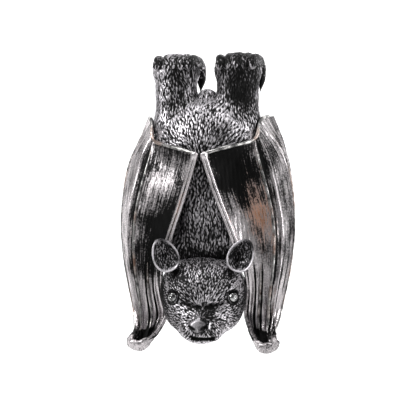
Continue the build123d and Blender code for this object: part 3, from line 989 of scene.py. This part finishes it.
def makeWing(side, name):
    share = np.linspace(0, 1, wing["columns"])
    along = np.linspace(0, 1, wing["rows"])
    grid = wingSurface(share, along).transpose(1, 0, 2)  # rows run from the hem to the tip
    s, t = np.meshgrid(share, along)
    low = smooth(t, 0.42, 0.72)  # the web gathers into pleats towards the tip
    wander = 0.012 * np.sin(t * 9 + side) + 0.008 * np.sin(t * 23 + 2 * side)
    main = scallop(np.clip(s + wander * (s > 0.02) * (s < 0.98), 0, 1), wing["ridges"])
    allRidges = sorted(wing["ridges"] + wing["pleats"])
    fine = scallop(np.clip(s + wander, 0, 1), allRidges)
    calm = np.where(s < 0.47, 0.15 + 0.25 * low, 0.55)
    hollow = calm * main * (1 - low) + (0.85 * fine + 0.25 * main) * low
    hollow *= smooth(t, 0.0, 0.05) * (1 - smooth(t, 0.8, 0.88))
    ends = 1 - smooth(t, 0.74, 0.83)  # ridges and folds run out above the tip's cup
    crease = ridgeLines(s, wing["ridges"][1:5], 0.012) * (1 - 0.4 * low) * ends
    fold = ridgeLines(s, wing["pleats"], 0.014) * low * ends
    cup = 2.8 * bell((t - 0.905) / 0.05) * np.sin(math.pi * s) ** 0.7
    uneven = 0.12 * sway(grid * (2.2, 2.2, 0.3), 1.2, side)
    lift = -1.5 * hollow - cup + 0.35 * crease + 0.3 * fold + uneven
    raised = grid + outward(grid) * lift[..., None]
    wall = wing["wall"] * (1 - 0.45 * np.maximum(smooth(t, 0.9, 1.0), smooth(s, 0.93, 1.0)))
    sheet = thickSheet(raised, wall)

    # painted shade lies in the cup, beside the finger and in the groove beside each ridge
    cupShade = smooth(t, 0.74, 0.82) * (1 - smooth(t, 0.97, 0.985)) * bell((s - 0.45) / 0.4)
    grooveShade = ridgeLines(s + wander - 0.032, allRidges, 0.017)
    # low on the web the pleats are painted brighter, as painted light on them
    tone = panelShade(s, t, side) + low * (0.38 - 2.8 * grooveShade) + 0.12 * sway(raised * (1, 1, 0.6), 2.6, side)
    tone += 0.45 * smooth(t, 0.97, 0.99) - 0.4 * bell((s - 0.5) / 0.012) - 1.6 * cupShade
    relief = np.clip(0.62 - 0.32 * hollow + 0.5 * crease + 0.4 * fold, 0, 1) * (1 - 0.9 * cupShade)
    lining = 0.2 * smooth(t, 0.88, 0.95)  # the web's inner face
    flow = np.array([s * wing["width"], t * wing["length"], 0 * s]).transpose(1, 2, 0).reshape(-1, 3)

    rim = closedTube(wingRim())
    points, faces = joined([sheet, rim])
    if side < 0:
        faces = [face[::-1] for face in faces]

    def everywhere(outer, inner, onRim):
        return np.concatenate([outer.ravel(), inner.ravel(), np.full(len(rim[0]), onRim)])

    makePiece(f"{name}Wing", points * (side, 1, 1), faces, webMetal, [f"{name}_wing_web"], "web_silver", {
        "relief": everywhere(relief, 0.5 + lining, 0.62),
        "tone": everywhere(np.clip(tone, -0.2, 1.1), 0.35 + lining, 0.55),
        "warm": everywhere(warmPatch(s, t, side), 0 * t, 0),
        "grain": np.vstack([flow, flow, rim[0]]),
    })


def wingRim():
    # a bead round the tip's edge and up the web's inner edge, thickest on the tip
    tip = wingSurface(np.linspace(0.97, 0.03, 8), np.array([0.995]))[:, 0] + (0, 0.4, -0.5)
    inner = wingSurface(np.array([0.0]), np.array(wing["rimStops"]))[0]
    return tube(np.vstack([tip, inner]), lambda a: 0.7 + 0.95 * bell((a - 0.24) / 0.22), 170, 20)


def panelShade(s, t, side):
    # how bright each part of the web is painted: partly the web's own patina, partly painted reflection and
    # shade of the lamps; the two wings differ
    flank, lower = (0.38, 0.62) if side < 0 else (0.06, 0.5)
    shade = (0.33 if side < 0 else 0.45) + spots(s, t, wing["spots"][side])
    shade += flank * smooth(s, 0.5, 0.6) * (1 - 0.5 * smooth(s, 0.9, 1.0))
    return shade + lower * smooth(t, 0.5, 0.6) * (1 - smooth(s, 0.6, 0.8))


def warmPatch(s, t, side):
    # how much copper shows
    if side > 0:
        return spots(s, t, wing["copperSpot"]) + 0.3 * bell((s - 0.47) / 0.05)
    return 0.3 * smooth(s, 0.45, 0.6) + 0.3 * bell((s - 0.47) / 0.06) * smooth(t, 0.2, 0.4)


def lineOnWing(share, start, end, steps, lift):
    line = wingSurface(np.array([share]), np.linspace(start, end, steps))[0]
    return line + np.array([0.3, -0.95, 0]) * lift


def mirrored(parts, side):
    if side > 0:
        return parts
    return [(points * (-1, 1, 1), [face[::-1] for face in faces]) for points, faces in parts]


# each rib's place across, where it starts and ends along the web, and its share of the radius
rib = {"radius": 0.75, "routes": ((0.47, 0.02, 0.79, 1.0), (0.77, 0.03, 0.85, 0.75), (0.27, 0.48, 0.79, 0.7))}


def makeRibs(side, name):
    def radius(s):
        return rib["radius"] * thick * (0.15 + 0.85 * smooth(min(s, 1 - s), 0, 0.14))

    parts = []
    for share, start, end, thick in rib["routes"]:
        parts.append(closedTube(tube(lineOnWing(share, start, end, 16, 0.15), radius, 170, 14)))
    points, faces = joined(mirrored(parts, side))
    makePiece(f"{name}Ribs", points, faces, edgeMetal, [f"{name}_finger_ribs"], "edge_silver")


arm = {
    "end": 0.44, "lift": 0.5, "radius": 1.75, "steps": 180, "columns": 40,
    "copper": {-1: 0.95, 1: 0.25},
}


def makeArm(side, name):
    # a bar with a groove along its front, swollen at both ends
    def radius(s):
        return arm["radius"] + 0.35 * bell(s / 0.05) + 0.25 * bell((s - 1) / 0.06)

    def section(turn, s):
        return 1 - 0.5 * bell((turn - math.pi / 2) / 0.45) * smooth(s, 0.03, 0.1)

    path = lineOnWing(0.0, 0.0, arm["end"], 9, arm["lift"])
    path[0] += (0.3, 0, 0.6)
    (points, faces), = mirrored([closedTube(tube(path, radius, arm["steps"], arm["columns"], section))], side)
    s = np.linspace(0, 1, arm["steps"])[:, None]
    turn = np.linspace(0, 2 * math.pi, arm["columns"], endpoint=False)[None, :]
    groove = bell((turn - math.pi / 2) / 0.4) * smooth(s, 0.03, 0.1)
    values = {
        "relief": 1.0 - 0.75 * groove, "tone": 0.72 - 0.25 * groove,
        "warm": arm["copper"][side] * bell((s - 0.62) / 0.3) * groove ** 0.5,
        "grain": np.stack([turn * 3 + 0 * s, s * 55 + 0 * turn, 0 * s * turn], -1),
    }
    for key, value in values.items():
        value = value.reshape(-1, *value.shape[2:])
        values[key] = np.concatenate([value[:1], value, value[-1:]])
    makePiece(f"{name}Forearm", points, faces, webMetal, [f"{name}_forearm"], "edge_silver", values)


hem = {"shares": (0.0, 0.1, 0.22, 0.36, 0.47, 0.6, 0.77, 0.92), "radius": 0.95, "uneven": 0.12, "waves": 30}


def makeHem(side, name):
    def radius(s):
        return hem["radius"] + hem["uneven"] * math.sin(s * hem["waves"])

    path = wingSurface(np.array(hem["shares"]), np.array([0.0]))[:, 0] + (0, -0.4, 0.2)
    (points, faces), = mirrored([closedTube(tube(path, radius, 130, 16))], side)
    makePiece(f"{name}Hem", points, faces, edgeMetal, [f"{name}_web_edge"], "edge_silver")


for side, name in sides:
    makeWing(side, name)
    makeRibs(side, name)
    makeArm(side, name)
    makeHem(side, name)
print("wings made")

# finishes of the CAD pieces that stay
steelWords = ("cover_screws", "neck_", "leg_studs", "leg_washers", "leg_nuts", "wing_dowels")
for words, material in (
    (("back_cover", "head_plug"), plateMetal), (steelWords, steelMetal), (("back_pads",), padRubber),
):
    for name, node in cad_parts.items():
        if any(word in name for word in words):
            node.data.materials.clear()
            node.data.materials.append(material)

for piece, nodes, slotName in pieces:
    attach(piece, "root")
    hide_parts(*nodes)


def makeBackdrop():
    # a floor that sweeps up into a wall behind, in metres, and glows towards the back
    profile = [(-1.6, -0.42)] + [
        (0.9 + 0.5 * math.sin(a), 0.08 - 0.5 * math.cos(a)) for a in np.linspace(0, math.pi / 2, 16)
    ] + [(1.4, 1.8)]
    points = [(x, y, z) for y, z in profile for x in (-2.5, 2.5)]
    faces = [(2 * i, 2 * i + 1, 2 * i + 3, 2 * i + 2) for i in range(len(profile) - 1)]
    mesh = bpy.data.meshes.new("backdrop")
    mesh.from_pydata(points, [], faces)
    mesh.shade_smooth()
    material, graph, coords = newMaterial("backdropPaper")
    speck = graph.noise(coords, 40, 2)
    colour = graph.mixed(speck, grey(0.8), grey(0.84))
    depth = graph.add("ShaderNodeSeparateXYZ", None, {"Vector": coords}, "Y")
    glow = graph.mixed(graph.ranged(depth, -0.2, 0.9), grey(0.0), grey(1.0))
    finishMaterial(graph, {
        "Base Color": colour, "Roughness": 0.9, "Emission Color": glow, "Emission Strength": 0.9,
    })
    mesh.materials.append(material)
    backdrop = bpy.data.objects.new("backdrop", mesh)
    bpy.context.scene.collection.objects.link(backdrop)


studio = {
    "aim": (0, -0.02, -0.07), "world": 0.16,  # metres, and the strength of the even light
    "lights": {
        "keyLight": {"place": (-0.5, -0.45, 0.3), "size": (0.35, 0.5), "power": 5},
        "sideLight": {"place": (0.6, -0.2, 0.1), "size": (0.2, 0.7), "power": 2.4},
        "topLight": {"place": (0, -0.15, 0.7), "size": (0.6, 0.3), "power": 2.4},
    },
}


def makeLights():
    for name, light in studio["lights"].items():
        addLight(name, aim=studio["aim"], **light)
    world = bpy.data.worlds.new("studio")
    world.use_nodes = True
    background = world.node_tree.nodes["Background"]
    background.inputs["Color"].default_value = (1, 1, 1, 1)
    background.inputs["Strength"].default_value = studio["world"]
    bpy.context.scene.world = world
    bpy.context.scene.view_settings.view_transform = "Standard"


makeBackdrop()
makeLights()
print("stage set")
